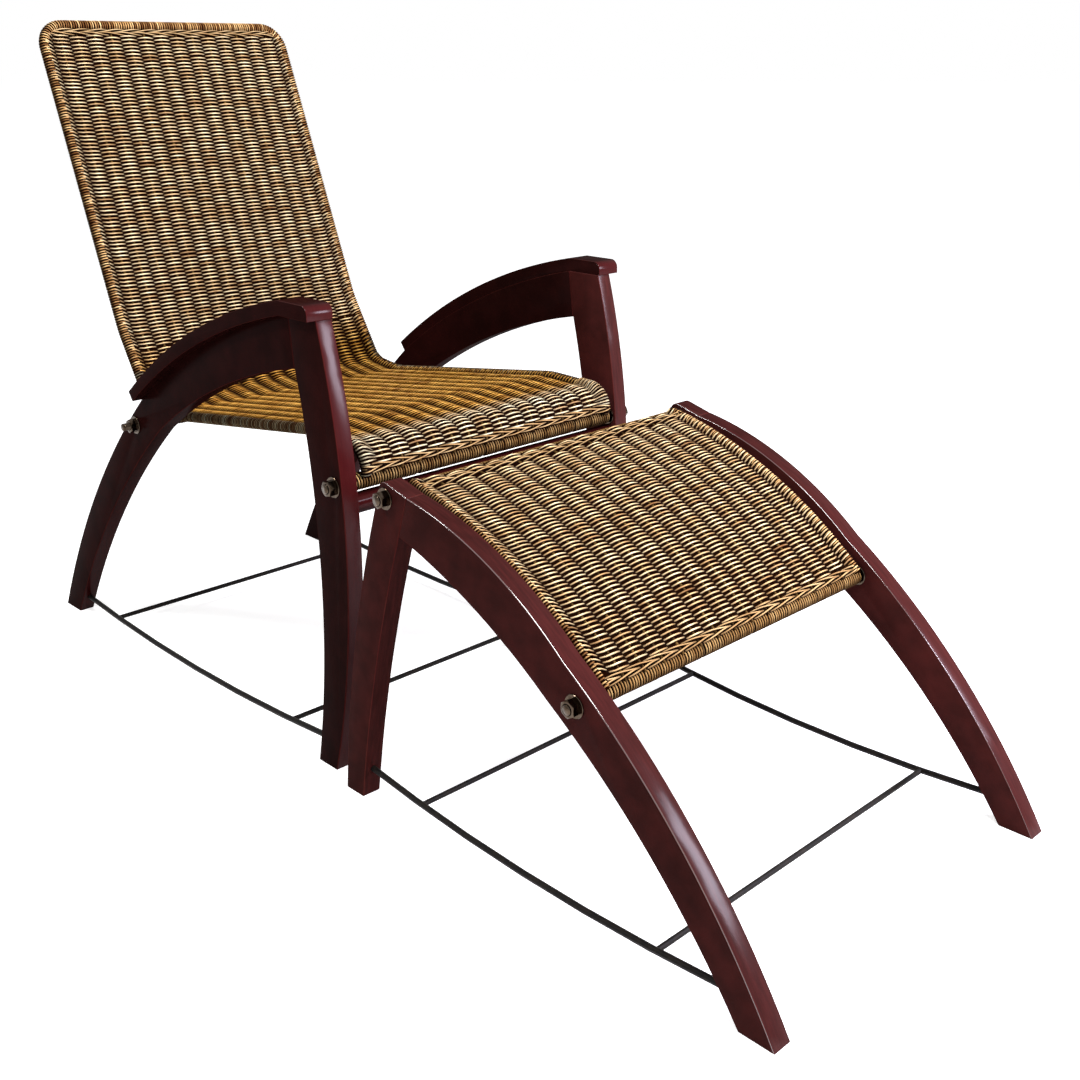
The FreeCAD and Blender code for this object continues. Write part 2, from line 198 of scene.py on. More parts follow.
# A colour ramp with a colour at each stop.
def addRamp(material, factor, stops, colors):
    ramp = material.node_tree.nodes.new("ShaderNodeValToRGB")
    elements = ramp.color_ramp.elements
    while len(elements) < len(stops):
        elements.new(0.5)
    for element, stop, color in zip(elements, stops, colors):
        element.position = stop
        element.color = (*color, 1)
    material.node_tree.links.new(factor, ramp.inputs["Fac"])
    return ramp.outputs["Color"]


def grey(level):
    return (level, level, level)


# Mixes two colours, inputs 6 and 7; a plain number, a colour or a socket may stand for each input.
def addMix(material, factor, first, second, blend="MIX"):
    mix = addNode(material, "ShaderNodeMix", data_type="RGBA", blend_type=blend)
    for socket, value in ((mix.inputs[0], factor), (mix.inputs[6], first), (mix.inputs[7], second)):
        if isinstance(value, bpy.types.NodeSocket):
            material.node_tree.links.new(value, socket)
        else:
            socket.default_value = value if isinstance(value, float) else (*value, 1)
    return mix.outputs[2]


# How far a vector points along a fixed way, or along another vector's socket.
def addDot(material, vector, way):
    dot = addNode(material, "ShaderNodeVectorMath", operation="DOT_PRODUCT")
    material.node_tree.links.new(vector, dot.inputs[0])
    if isinstance(way, tuple):
        dot.inputs[1].default_value = way
    else:
        material.node_tree.links.new(way, dot.inputs[1])
    return dot.outputs["Value"]


def addBump(material, shader, height, strength, distance):
    bump = addNode(material, "ShaderNodeBump", Strength=strength, Distance=distance)
    material.node_tree.links.new(height, bump.inputs["Height"])
    material.node_tree.links.new(bump.outputs["Normal"], shader.inputs["Normal"])


# Lacquered wood: dark red-brown with a faint grain, with painted light added where it faces the front, and
# paler and redder along its edges, partly worn and partly a painted highlight.
# Clouds, grain, rubs, scuffs and pores are noises, as (scale, detail)
woodSet = {"dark": (0.014, 0.0035, 0.003), "mid": (0.025, 0.006, 0.0055), "red": (0.05, 0.009, 0.008),
           "worn": (0.06, 0.014, 0.011), "fade": (0.02, 0.001, 0.0016),
           "clouds": (3.0, 3.0), "cloudStops": (0.2, 0.5, 0.85),
           "grain": (27.0, 6.0), "grainStretch": (9, 1.2, 1.2), "grainStops": (0.35, 0.7),
           "grainShare": 0.35,
           "rubs": (22.0, 4.0), "rubStops": (0.42, 0.62), "rubShare": 0.6,
           "scuffs": (60.0, 5.0), "scuffStops": (0.4, 0.75), "smooth": 0.22, "rough": 0.42,
           "pores": (30.0, 3.0), "poreStretch": (3, 1, 1), "poreStrength": 0.08, "poreDepth": 1.0 * mm,
           "specular": 0.0, "coat": 0.04, "frontCoat": 0.3, "coatIor": 1.36, "coatRoughness": 0.2,
           "edgeCoatIor": 2.2, "edgeCoatRoughness": 0.1,
           "shineWay": (-0.6, -0.25, 0.76), "shineStops": (0.75, 0.85)}
# The boards differ in shade, which is partly painted light and shade, in how much painted front light they
# take, in what counts as their front and in their edges' coat
# The chair's low shade is partly its own dark wood and partly painted shade on its sides.
woodLooks = {"chair": {"shade": 0.4, "edgeShade": 0.7, "fade": 1.1, "edgeCoat": 0.12,
                       "frontWay": (0, -0.95, 0.3), "frontStops": (0.35, 0.95)},
             # The left front leg's higher shade is painted light, for the light that the seat throws on it.
             "left_leg": {"shade": 1.3, "edgeShade": 1.3, "fade": 0.1, "edgeCoat": 0.12,
                          "frontWay": (0, -0.95, 0.3), "frontStops": (0.35, 0.95)},
             "footrest": {"shade": 1.1, "edgeShade": 1.2, "fade": 0.3, "edgeCoat": 1.0,
                          "frontWay": (0, -0.8, 0.6), "frontStops": (0.8, 1.0)}}


# The coat is thin at the sides and thick in front. Worn edges shine only where they look up and toward
# the sitter's right.
def makeWood(name, look, worn):
    dark, mid, red = woodSet["dark"], woodSet["mid"], woodSet["red"]
    material, shader = newMaterial(name, mid, woodSet["smooth"], woodSet["specular"])
    link = material.node_tree.links.new
    texture = addNode(material, "ShaderNodeTexCoord")
    place = texture.outputs["Object"]
    normal = texture.outputs["Normal"]
    clouds = addNoise(material, place, *woodSet["clouds"])
    base = addRamp(material, clouds, woodSet["cloudStops"], (dark, mid, red))
    grain = addNoise(material, place, *woodSet["grain"], woodSet["grainStretch"])
    streaks = addRamp(material, grain, woodSet["grainStops"], (dark, red))
    color = addMix(material, woodSet["grainShare"], base, streaks)
    # The edges are rubbed paler and redder and take a lighter shade than the faces: partly wear and partly
    # a painted highlight.
    if worn:
        rubs = addNoise(material, place, *woodSet["rubs"])
        rubbed = addRamp(material, rubs, woodSet["rubStops"], (red, woodSet["worn"]))
        color = addMix(material, woodSet["rubShare"], color, rubbed)
    color = addMix(material, 1.0, color, grey(look["edgeShade" if worn else "shade"]), "MULTIPLY")
    # Painted light: faces toward the front get a lighter, redder colour added, for the light that falls on
    # them from the front.
    front = addDot(material, normal, look["frontWay"])
    inFront = addRamp(material, front, look["frontStops"], (grey(0), grey(1)))
    fade = tuple(part * look["fade"] for part in woodSet["fade"])
    color = addMix(material, inFront, color, addMix(material, 1.0, color, fade, "ADD"))
    link(color, shader.inputs["Base Color"])
    if worn:
        shine = addDot(material, normal, woodSet["shineWay"])
        coat = addRamp(material, shine, woodSet["shineStops"], (grey(0), grey(look["edgeCoat"])))
    else:
        coat = addMix(material, inFront, grey(woodSet["coat"]), grey(woodSet["frontCoat"]))
    link(coat, shader.inputs["Coat Weight"])
    scuffs = addNoise(material, place, *woodSet["scuffs"])
    levels = grey(woodSet["smooth"]), grey(woodSet["rough"])
    link(addRamp(material, scuffs, woodSet["scuffStops"], levels), shader.inputs["Roughness"])
    kind = "edgeCoat" if worn else "coat"
    shader.inputs["Coat IOR"].default_value = woodSet[kind + "Ior"]
    shader.inputs["Coat Roughness"].default_value = woodSet[kind + "Roughness"]
    pores = addNoise(material, place, *woodSet["pores"], woodSet["poreStretch"])
    addBump(material, shader, pores, woodSet["poreStrength"], woodSet["poreDepth"])
    return material


# Reed: each strand has its own tone, cream or golden, and its sides and the recesses get painted shade.
# The two colour rows run from brown to pale, and stains and fibres are noises, as (scale, detail)
# The recess colour is painted shade, and the side stops and levels paint shade on a strand's flanks.
reedSet = {"cream": ((0.34, 0.17, 0.07), (0.8, 0.58, 0.32), (1.0, 0.9, 0.62)),
           "golden": ((0.18, 0.065, 0.01), (0.64, 0.29, 0.044), (0.98, 0.52, 0.105)),
           "toneStops": (0.0, 0.5, 0.95), "recess": (0.006, 0.0016, 0.0005),
           "sideStops": (0.2, 0.45, 0.7, 0.92), "sideLevels": (0.0, 0.08, 0.21, 1.0),
           "stains": (55.0, 3.0), "stainStops": (0.35, 0.6), "stain": (0.62, 0.56, 0.5),
           "roughness": 0.36, "recessRoughness": 0.95, "roughStops": (0.2, 0.8), "specular": 0.03,
           "fibres": (900.0, 2.0), "fibreStrength": 0.2, "fibreDepth": 0.5 * mm}


# Attributes: tone picks a strand's colour, warm how golden it is, and the third sets its painted light, 0
# in a recess, where it takes the painted shade colour.
# Outward is the way that a strand faces where it lies on top, and nothing where it crosses the weave.
def makeReed(name):
    material, shader = newMaterial(name, reedSet["cream"][1], reedSet["roughness"], reedSet["specular"])
    link = material.node_tree.links.new

    def attribute(label, output):
        return addNode(material, "ShaderNodeAttribute", attribute_name=label).outputs[output]

    texture = addNode(material, "ShaderNodeTexCoord")
    place = texture.outputs["Object"]
    tone = attribute("tone", "Fac")
    cream = addRamp(material, tone, reedSet["toneStops"], reedSet["cream"])
    golden = addRamp(material, tone, reedSet["toneStops"], reedSet["golden"])
    strand = addMix(material, attribute("warm", "Fac"), cream, golden)
    stains = addNoise(material, place, *reedSet["stains"])
    patches = addRamp(material, stains, reedSet["stainStops"], (reedSet["stain"], grey(1)))
    strand = addMix(material, 1.0, strand, patches, "MULTIPLY")
    # Painted shade on a strand's flanks, which turn away from outward, and through the painted light value
    # in the recesses.
    facing = addDot(material, texture.outputs["Normal"], attribute("outward", "Vector"))
    levels = [grey(level) for level in reedSet["sideLevels"]]
    flank = addRamp(material, facing, reedSet["sideStops"], levels)
    shown = addNode(material, "ShaderNodeMath", operation="MULTIPLY")
    link(flank, shown.inputs[0])
    link(attribute("lift", "Fac"), shown.inputs[1])
    link(addMix(material, shown.outputs[0], reedSet["recess"], strand), shader.inputs["Base Color"])
    levels = grey(reedSet["recessRoughness"]), grey(reedSet["roughness"])
    link(addRamp(material, shown.outputs[0], reedSet["roughStops"], levels), shader.inputs["Roughness"])
    fibres = addNoise(material, place, *reedSet["fibres"])
    addBump(material, shader, fibres, reedSet["fibreStrength"], reedSet["fibreDepth"])
    return material


# The thin stakes between the rows are brown with patches of the painted shade colour, partly stain and
# partly painted shade, and the sheet behind them is painted shade, as dark as a recess
stakeSet = {"color": (0.13, 0.07, 0.02), "roughness": 0.55,
            "stains": (80.0, 3.0), "stainStops": (0.35, 0.65)}
paintedShadeRoughness = 0.9


def makeStake(name):
    material, shader = newMaterial(name, stakeSet["color"], stakeSet["roughness"], reedSet["specular"])
    place = addNode(material, "ShaderNodeTexCoord").outputs["Object"]
    stains = addNoise(material, place, *stakeSet["stains"])
    color = addRamp(material, stains, stakeSet["stainStops"], (reedSet["recess"], stakeSet["color"]))
    material.node_tree.links.new(color, shader.inputs["Base Color"])
    return material


# Metals, stained in spots and finely pitted
metalLooks = {"black_iron": {"color": (0.004, 0.0035, 0.0035), "spots": (0.012, 0.009, 0.007),
                             "roughness": 0.5, "metallic": 0.1, "specular": 0.08},
              "dull_steel": {"color": (0.075, 0.055, 0.04), "spots": (0.03, 0.018, 0.01),
                             "roughness": 0.14, "metallic": 1.0, "specular": 0.5}}
metalSet = {"stains": (120.0, 5.0), "stainStops": (0.4, 0.7),
            "pits": (350.0, 3.0), "pitStrength": 0.15, "pitDepth": 0.4 * mm}


def makeMetal(name):
    look = metalLooks[name]
    material, shader = newMaterial(name, look["color"], look["roughness"], look["specular"])
    place = addNode(material, "ShaderNodeTexCoord").outputs["Object"]
    stains = addNoise(material, place, *metalSet["stains"])
    color = addRamp(material, stains, metalSet["stainStops"], (look["color"], look["spots"]))
    material.node_tree.links.new(color, shader.inputs["Base Color"])
    shader.inputs["Metallic"].default_value = look["metallic"]
    pits = addNoise(material, place, *metalSet["pits"])
    addBump(material, shader, pits, metalSet["pitStrength"], metalSet["pitDepth"])
    return material


# For each kind of board, the wood of its faces and that of its edges
woods = {kind: (makeWood(kind + "_wood", look, False), makeWood(kind + "_wood_edge", look, True))
         for kind, look in woodLooks.items()}
reedMaterial = makeReed("reed_weave")
stakeMaterial = makeStake("reed_stakes")
paintedShadeMaterial = newMaterial("weave_core", reedSet["recess"], paintedShadeRoughness)[0]
ironMaterial = makeMetal("black_iron")
steelMaterial = makeMetal("dull_steel")
print("materials made")


# A new piece at the origin, riding on a body in place of a CAD node.
def linked(name, mesh, body, node):
    piece = bpy.data.objects.new(name, mesh)
    scene.collection.objects.link(piece)
    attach(piece, body)
    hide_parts(node)
    return piece


# Ends a mesh under work, with all its faces smooth.
def writeSmooth(bm, mesh):
    for face in bm.faces:
        face.smooth = True
    bm.to_mesh(mesh)
    bm.free()


routeStep = 2.0 * mm
leastTurns = 4  # pieces of the shortest rounded corner


# Points along straight runs joined by tangent arcs, evenly spaced, as an array.
def roundedLine(points, radii):
    corners = [Vector(point) for point in points]
    route = [corners[0]]
    for before, corner, after, radius in zip(corners, corners[1:], corners[2:], radii):
        back = (before - corner).normalized()
        ahead = (after - corner).normalized()
        half = back.angle(ahead) / 2
        centre = corner + (back + ahead).normalized() * (radius / math.sin(half))
        first = corner + back * (radius / math.tan(half)) - centre
        last = corner + ahead * (radius / math.tan(half)) - centre
        sweep = first.angle(last)
        turns = max(leastTurns, int(radius * sweep / routeStep))
        for index in range(turns + 1):
            past = index / turns
            swung = first * math.sin(sweep * (1 - past)) + last * math.sin(sweep * past)
            route.append(centre + swung / math.sin(sweep))
    route.append(corners[-1])
    return evenly(np.array(route), routeStep)


def routeLengths(route):
    return np.concatenate([[0], np.cumsum(np.linalg.norm(np.diff(route, axis=0), axis=1))])


# The values of an array's rows, read at the given places between the known ones.
def readAlong(places, known, rows):
    return np.stack([np.interp(places, known, rows[:, axis]) for axis in range(3)], axis=-1)


# The same route with points an even step apart.
def evenly(route, step):
    lengths = routeLengths(route)
    places = np.linspace(0, lengths[-1], max(2, int(lengths[-1] / step) + 1))
    return readAlong(places, lengths, route)


def routeTangents(route):
    tangents = np.gradient(route, axis=0)
    return tangents / np.linalg.norm(tangents, axis=1)[:, None]


# A normal for each tangent, carried along the route without twist.
def carriedNormals(tangents, first):
    normals = [np.array(first, float)]
    for tangent in tangents[1:]:
        normal = normals[-1] - tangent * np.dot(normals[-1], tangent)
        normals.append(normal / np.linalg.norm(normal))
    return np.array(normals)


# One reed: its points, and for each its tone, its warmth, its painted light and the way the woven face
# looks.
class Strand:

    def __init__(self, points, outward, lift, tone=0.0, warm=0.0):
        self.points = points
        even = np.ones(len(points))
        self.values = np.column_stack([tone * even, warm * even, lift * even, outward])


# Round strands as one mesh, with their values as attributes. The curve's mesh has each strand's two end
# rings first, and then the rings of all strands in turn.
def strandMesh(name, strands, radius, resolution=1, material=reedMaterial):
    curve = bpy.data.curves.new(name, "CURVE")
    curve.dimensions = "3D"
    for strand in strands:
        count = len(strand.points)
        spline = curve.splines.new("POLY")
        spline.points.add(count - 1)
        spline.points.foreach_set("co", np.column_stack([strand.points, np.ones(count)]).ravel())
    curve.bevel_depth = radius
    curve.bevel_resolution = resolution
    curve.use_fill_caps = True
    holder = bpy.data.objects.new(name, curve)
    scene.collection.objects.link(holder)
    graph = bpy.context.evaluated_depsgraph_get()
    mesh = bpy.data.meshes.new_from_object(holder.evaluated_get(graph), depsgraph=graph)
    bpy.data.objects.remove(holder)
    sides = 4 + 2 * resolution  # points of one ring
    ends = np.concatenate([strand.values[[0, -1]] for strand in strands])
    rings = np.concatenate([strand.values for strand in strands])
    values = np.concatenate([ends, rings]).repeat(sides, axis=0)
    for index, attribute in enumerate(("tone", "warm", "lift")):
        layer = mesh.attributes.new(attribute, "FLOAT", "POINT")
        layer.data.foreach_set("value", np.ascontiguousarray(values[:, index], np.float32))
    layer = mesh.attributes.new("outward", "FLOAT_VECTOR", "POINT")
    layer.data.foreach_set("vector", np.ascontiguousarray(values[:, 3:], np.float32).ravel())
    bm = bmesh.new()
    bm.from_mesh(mesh)
    bmesh.ops.remove_doubles(bm, verts=bm.verts, dist=mergeDistance)
    writeSmooth(bm, mesh)
    mesh.name = name
    mesh.materials.clear()
    mesh.materials.append(material)
    return mesh


# A sheet across the seat that follows a line in the side view; s runs along it, x across.
class Surface:

    def __init__(self, points, radii, halfWidth, stakes, corner=0.0):
        self.route = roundedLine([(0, y, z) for y, z in points], radii)
        tangents = routeTangents(self.route)
        self.normals = np.column_stack([np.zeros(len(tangents)), -tangents[:, 2], tangents[:, 1]])
        self.lengths = routeLengths(self.route)
        self.length = self.lengths[-1]
        self.halfWidth = halfWidth
        self.stakes = stakes
        self.spacing = 2 * halfWidth / (stakes + 1)
        self.corner = corner

    # Places from edge to edge, at the same shares of each gap between stakes.
    def across(self, shares=(0,)):
        places = [(gap + share) * self.spacing for gap in range(self.stakes + 1) for share in shares]
        return np.array(places + [2 * self.halfWidth]) - self.halfWidth

    def facing(self, s):
        return readAlong(s, self.lengths, self.normals)

    # Points at lengths s and distances x from the middle, raised off the sheet.
    def at(self, s, x, rise):
        place = readAlong(s, self.lengths, self.route)
        place = place + self.facing(s) * np.asarray(rise)[..., None]
        inner = self.halfWidth - self.spacing
        past = np.clip(s - (self.length - self.corner), 0, self.corner)
        drawnIn = self.corner - np.sqrt(self.corner ** 2 - past ** 2)
        outer = np.maximum(np.abs(x) - inner, 0) * (self.spacing - drawnIn) / self.spacing
        place[..., 0] = np.sign(x) * (np.minimum(np.abs(x), inner) + outer)
        return place


# Woven panels. Samples are shares of the gap between two stakes, and shown is how fast a strand turns its
# face up past a crossing. Over and under lift are the painted light of the rows that go over and under a
# wrapped edge bar, least lift and lift power set the painted shade where a row dips at a crossing, and the
# warm values are those of golden reed. A tone range ends with the tone that comes most
weaveSet = {"pitch": 3.14 * mm, "strand": 1.48 * mm, "samples": (0, 0.22, 0.46, 0.54, 0.78), "shown": 8.0,
            "rise": 3.5 * mm, "riseRange": (0.9, 1.1), "wander": 0.2 * mm,
            "edgeRise": 6.0 * mm, "edgeReach": 0.85, "edgeSlant": 6.0 * mm, "slantRun": 30.0 * mm,
            "barTurns": (30, 60, 85), "overLift": 0.75, "underLift": 0.35,
            "toneRange": (0.4, 1.0, 0.8), "toneSpread": 0.18,
            "leastLift": 0.3, "warmLeastLift": 0.05, "liftPower": 1.3, "warmLiftPower": 3.0,
            "stakeRadius": 2.0 * mm, "stakeStep": 6.0 * mm, "stakeEnd": 4.0 * mm,
            "coreThickness": 0.8 * mm, "coreStart": 2.0 * mm, "coreEnd": 3.0 * mm,
            "coreCellAcross": 16.0 * mm, "coreCellAlong": 6.0 * mm}


# 1 at the bound edge, 0 from just outside the first stake inwards.
def edgeShare(surface, x):
    inner = surface.halfWidth - surface.spacing * weaveSet["edgeReach"]
    return smoothStep(inner, surface.halfWidth, np.abs(x))


# Places across a row that goes on round the edge bar, and the share of the bar's radius left at each.
def roundBar(surface, x, wrap):
    if not wrap:
        return x, np.ones(len(x))
    turns = np.sin(np.radians(weaveSet["barTurns"]))
    x = np.concatenate([-surface.halfWidth - wrap * turns[::-1], x, surface.halfWidth + wrap * turns])
    past = np.clip(np.abs(x) - surface.halfWidth, 0, wrap)
    return x, np.sqrt(1 - (past / wrap) ** 2)


# Plain-woven rows: each passes over one stake and under the next, and its neighbours do the reverse.
# Where they wrap, all rows go on over the edge bar, and the first ones slant less.
def weavers(surface, start, end, warmth, seed, wrap=0.0):
    dice = random.Random(seed)
    x, left = roundBar(surface, surface.across(weaveSet["samples"]), wrap)
    edge = edgeShare(surface, x)
    inside = np.clip(x, -surface.halfWidth, surface.halfWidth) + surface.halfWidth
    wave = np.cos(math.pi * inside / surface.spacing)
    stakesAt = surface.across()
    strands = []
    for row in range(int((end - start) / weaveSet["pitch"])):
        side = 1 if row % 2 else -1
        level = lerp(wave * side, 1, edge) if wrap else wave * side
        rise = weaveSet["rise"] * dice.uniform(*weaveSet["riseRange"])
        rise = lerp(rise, wrap or weaveSet["edgeRise"], edge) * level * left
        wander = np.interp(x, stakesAt, [dice.gauss(0, weaveSet["wander"]) for stake in stakesAt])
        along = (row + 0.5) * weaveSet["pitch"]
        slant = weaveSet["edgeSlant"] * (smoothStep(0, weaveSet["slantRun"], along) if wrap else 1)
        s = start + along + wander + edge * slant
        shown = np.clip(weaveSet["shown"] * level, -1, 1)
        rowTone = dice.triangular(*weaveSet["toneRange"])
        tones = [clamp(dice.gauss(rowTone, weaveSet["toneSpread"])) for stake in stakesAt]
        warm = warmth(s.mean())
        least = lerp(weaveSet["leastLift"], weaveSet["warmLeastLift"], warm)
        power = lerp(weaveSet["liftPower"], weaveSet["warmLiftPower"], warm)
        # Painted shade where the row dips toward a crossing between stakes, deeper on golden reed.
        lift = least + (1 - least) * np.abs(wave) ** power
        # Painted shade on the rows that go under the edge bar, less on those that go over it.
        if wrap:
            lift = lift * lerp(1, weaveSet["overLift" if side > 0 else "underLift"], edge)
        outward = surface.facing(s) * shown[:, None]
        strands.append(Strand(surface.at(s, x, rise), outward, lift, np.interp(x, stakesAt, tones), warm))
    return strands


def stakeRods(surface, start, end):
    s = np.linspace(start, end, int((end - start) / weaveSet["stakeStep"]))
    flat = np.zeros(len(s))
    return [Strand(surface.at(s, np.full(len(s), x), flat), surface.facing(s), 0.0)
            for x in surface.across()[1:-1]]


# Border rows of three strands twisted round each other, each over two stakes and under one
twineSet = {"strand": 1.3 * mm, "strands": 3, "samples": 6, "swing": 2.3 * mm, "seedStep": 10,
            "riseShare": 1.15, "middleShare": 0.3, "shownShift": 0.4,
            "lift": 0.32, "liftSwing": 0.36, "leastLift": 0.02, "tones": (0.45, 0.8), "leastWarm": 0.45}


def twinedRow(surface, s, hand, warm, seed, wrap=0.0):
    dice = random.Random(seed)
    shares = np.arange(twineSet["samples"]) / twineSet["samples"]
    x, left = roundBar(surface, surface.across(shares), wrap)
    edge = edgeShare(surface, x) if wrap else 0.0
    strands = []
    for strand in range(twineSet["strands"]):
        turn = math.tau * ((x + surface.halfWidth) / surface.spacing + strand) / twineSet["strands"]
        rise = weaveSet["rise"] * (twineSet["riseShare"] * np.cos(turn) + twineSet["middleShare"])
        rise = lerp(rise, wrap, edge) * left
        along = s + hand * twineSet["swing"] * np.sin(turn)
        shown = np.clip(weaveSet["shown"] * (np.cos(turn) + twineSet["shownShift"]), -1, 1)
        # Painted shade where a strand turns down under the others.
        lift = np.clip(twineSet["lift"] + twineSet["liftSwing"] * np.cos(turn), twineSet["leastLift"], 1)
        outward = surface.facing(along) * shown[:, None]
        tone = dice.uniform(*twineSet["tones"])
        warmest = max(warm, twineSet["leastWarm"])
        strands.append(Strand(surface.at(along, x, rise), outward, lift, tone, warmest))
    return strands


# A dark sheet of painted shade inside the weave, where the strands cross between the stakes, so that no
# light shows through.
def shadeSheetMesh(name, surface, start, end):
    mesh = bpy.data.meshes.new(name)
    bm = bmesh.new()
    cellsAcross = int(2 * surface.halfWidth / weaveSet["coreCellAcross"])
    cellsAlong = int((end - start) / weaveSet["coreCellAlong"])
    bmesh.ops.create_grid(bm, x_segments=cellsAcross, y_segments=cellsAlong, size=1)
    for vert in bm.verts:
        s = np.array([lerp(start, end, (vert.co.y + 1) / 2)])
        vert.co = surface.at(s, np.array([vert.co.x * surface.halfWidth]), np.zeros(1))[0]
    bm.to_mesh(mesh)
    bm.free()
    mesh.materials.append(paintedShadeMaterial)
    return mesh


# One panel: its rows in named parts (name, start, end, wrap), twined borders (place, hand, wrap), its
# stakes and its sheet of painted shade.
def makePanel(label, surface, body, node, parts, borders, warmth, seed):
    for index, (name, start, end, wrap) in enumerate(parts):
        rows = weavers(surface, start, end, warmth, seed + index, wrap)
        linked(name, strandMesh(name, rows, weaveSet["strand"]), body, node)
    twined = []
    for index, (place, hand, wrap) in enumerate(borders):
        rowSeed = seed + twineSet["seedStep"] + index
        twined += twinedRow(surface, place, hand, warmth(place), rowSeed, wrap)
    name = label + "_borders"
    linked(name, strandMesh(name, twined, twineSet["strand"]), body, node)
    name = label + "_stakes"
    rods = stakeRods(surface, 0, surface.length - weaveSet["stakeEnd"])
    stakes = strandMesh(name, rods, weaveSet["stakeRadius"], material=stakeMaterial)
    linked(name, stakes, body, node)
    name = label + "_core"
    sheet = shadeSheetMesh(name, surface, weaveSet["coreStart"], surface.length - weaveSet["coreEnd"])
    shadeSheet = linked(name, sheet, body, node)
    thicken = shadeSheet.modifiers.new("thicken", "SOLIDIFY")
    thicken.thickness = weaveSet["coreThickness"]
    thicken.offset = 0


# Reed wound round a bar or a rod. Wobble is a share of the pitch, and each turn's tone spreads round a
# middle that drifts along the winding
windSet = {"step": 4.0 * mm, "drift": 0.03, "driftLimit": 0.12, "barResolution": 3,
           "notchWidth": 1.4 * mm, "notchDepth": 1.3 * mm, "notchShade": 0.9}
# Lit is how much it counts that a strand faces the middle, the front and the top; the rest gets painted
# shade, and the lift values are levels of painted light
edgeWinding = {"strand": 1.3 * mm, "pitch": 4.2 * mm, "sides": 10, "resolution": 0, "wobble": 0.08,
               "firstWay": (1, 0, 0), "warm": 0.6, "middle": 0.4, "spread": 0.35, "barInset": 0.3,
               "lit": (0.85, 0.45, 0.3), "litStops": (-0.15, 0.45), "lift": 1.0, "awayLift": 0.13,
               "darkLift": 0.16}
rollWinding = {"strand": 1.6 * mm, "pitch": 4.4 * mm, "sides": 14, "resolution": 1, "wobble": 0.08,
               "firstWay": (0, 0, 1), "warm": 0.7, "middle": 0.62, "spread": 0.15, "barInset": 0.5,
               "lit": (0.0, 0.5, 0.8), "litStops": (0.0, 0.85), "lift": 0.4, "awayLift": 0.07,
               "notchSpread": 2.0 * mm, "deepestNotch": 0.9}


# One strand wound round a route in close turns: its points, and the way out from the route.
# At each notch, a length along the route and a depth, the winding sinks in and gets painted shade.
def coil(route, radius, winding, seed, notches):
    dice = random.Random(seed)
    route = evenly(route, windSet["step"])
    tangents = routeTangents(route)
    normals = carriedNormals(tangents, winding["firstWay"])
    across = np.cross(tangents, normals)
    lengths = routeLengths(route)
    turns = int(lengths[-1] / winding["pitch"])
    angle = np.arange(turns * winding["sides"]) * math.tau / winding["sides"]
    drift = [dice.gauss(0, winding["wobble"] * winding["pitch"]) for turn in range(turns + 2)]
    s = angle / math.tau * winding["pitch"] + np.interp(angle / math.tau, np.arange(turns + 2), drift)
    s = np.clip(s, 0, lengths[-1])
    outward = np.cos(angle)[:, None] * readAlong(s, lengths, normals)
    outward = outward + np.sin(angle)[:, None] * readAlong(s, lengths, across)
    sink = np.zeros(len(s))
    for notch, depth in notches:
        sink += depth * np.exp(-((s - notch) / windSet["notchWidth"]) ** 2)
    points = readAlong(s, lengths, route) + outward * (radius - windSet["notchDepth"] * sink)[:, None]
    return points, outward, 1 - windSet["notchShade"] * np.clip(sink, 0, 1)


# The winding in separate turns, each with its own tone.
def windingTurns(route, radius, winding, seed, notches=()):
    dice = random.Random(seed)
    points, outward, lift = coil(route, radius, winding, seed, notches)
    middle, limit = winding["middle"], windSet["driftLimit"]
    strands = []
    slow = middle
    for first in range(0, len(points) - 1, winding["sides"]):
        part = slice(first, first + winding["sides"] + 1)
        slow = clamp(slow + dice.gauss(0, windSet["drift"]), middle - limit, middle + limit)
        tone = clamp(slow + dice.gauss(0, winding["spread"]))
        if len(points[part]) > 2:
            strands.append(Strand(points[part], outward[part], lift[part], tone, winding["warm"]))
    return strands


# Paints shade on what faces away from the light. Side is 1 at the bar on the sitter's right and -1 at the
# one on the left.
def shadeAway(strand, side, winding):
    sideways, forward, upward = winding["lit"]
    x, y, z = strand.values[:, 3], strand.values[:, 4], strand.values[:, 5]
    toward = sideways * x * side - forward * y + upward * z
    share = smoothStep(*winding["litStops"], toward)
    strand.values[:, 2] *= lerp(winding["awayLift"], winding["lift"], share)


# The strands as a piece, over a bar in the painted shade colour that shows between their turns.
def makeWound(name, barName, strands, route, radius, winding, body, node):
    mesh = strandMesh(name, strands, winding["strand"], winding["resolution"])
    linked(name, mesh, body, node)
    inset = winding["strand"] * winding["barInset"]
    bar = Strand(route, np.zeros(route.shape), 0.0)
    mesh = strandMesh(barName, [bar], radius - inset, windSet["barResolution"], paintedShadeMaterial)
    linked(barName, mesh, body, node)


# Binding on an edge bar. Between the first two lengths from either end it is left out, for rows that go
# round the bar, and up to the third it is grey, with painted shade.
def bindEdge(name, route, radius, seed, body, node, lengths=(0, 0, 0)):
    strands = windingTurns(route, radius, edgeWinding, seed)
    low, high, dark = [int(place / edgeWinding["pitch"]) for place in lengths]
    turns = len(strands)
    widest = np.abs(route[:, 0]).max()
    # Painted shade on the side of each turn that faces away from the light.
    for strand in strands:
        shadeAway(strand, (-strand.points[:, 0] / widest) ** 3, edgeWinding)
    for strand in strands[:dark] + strands[turns - dark:]:
        strand.values[:, 1] = 0
        strand.values[:, 2] = edgeWinding["darkLift"]
    strands = strands[:low] + strands[high:turns - high] + strands[turns - low:]
    makeWound(name, name + "_bar", strands, route, radius, edgeWinding, body, node)


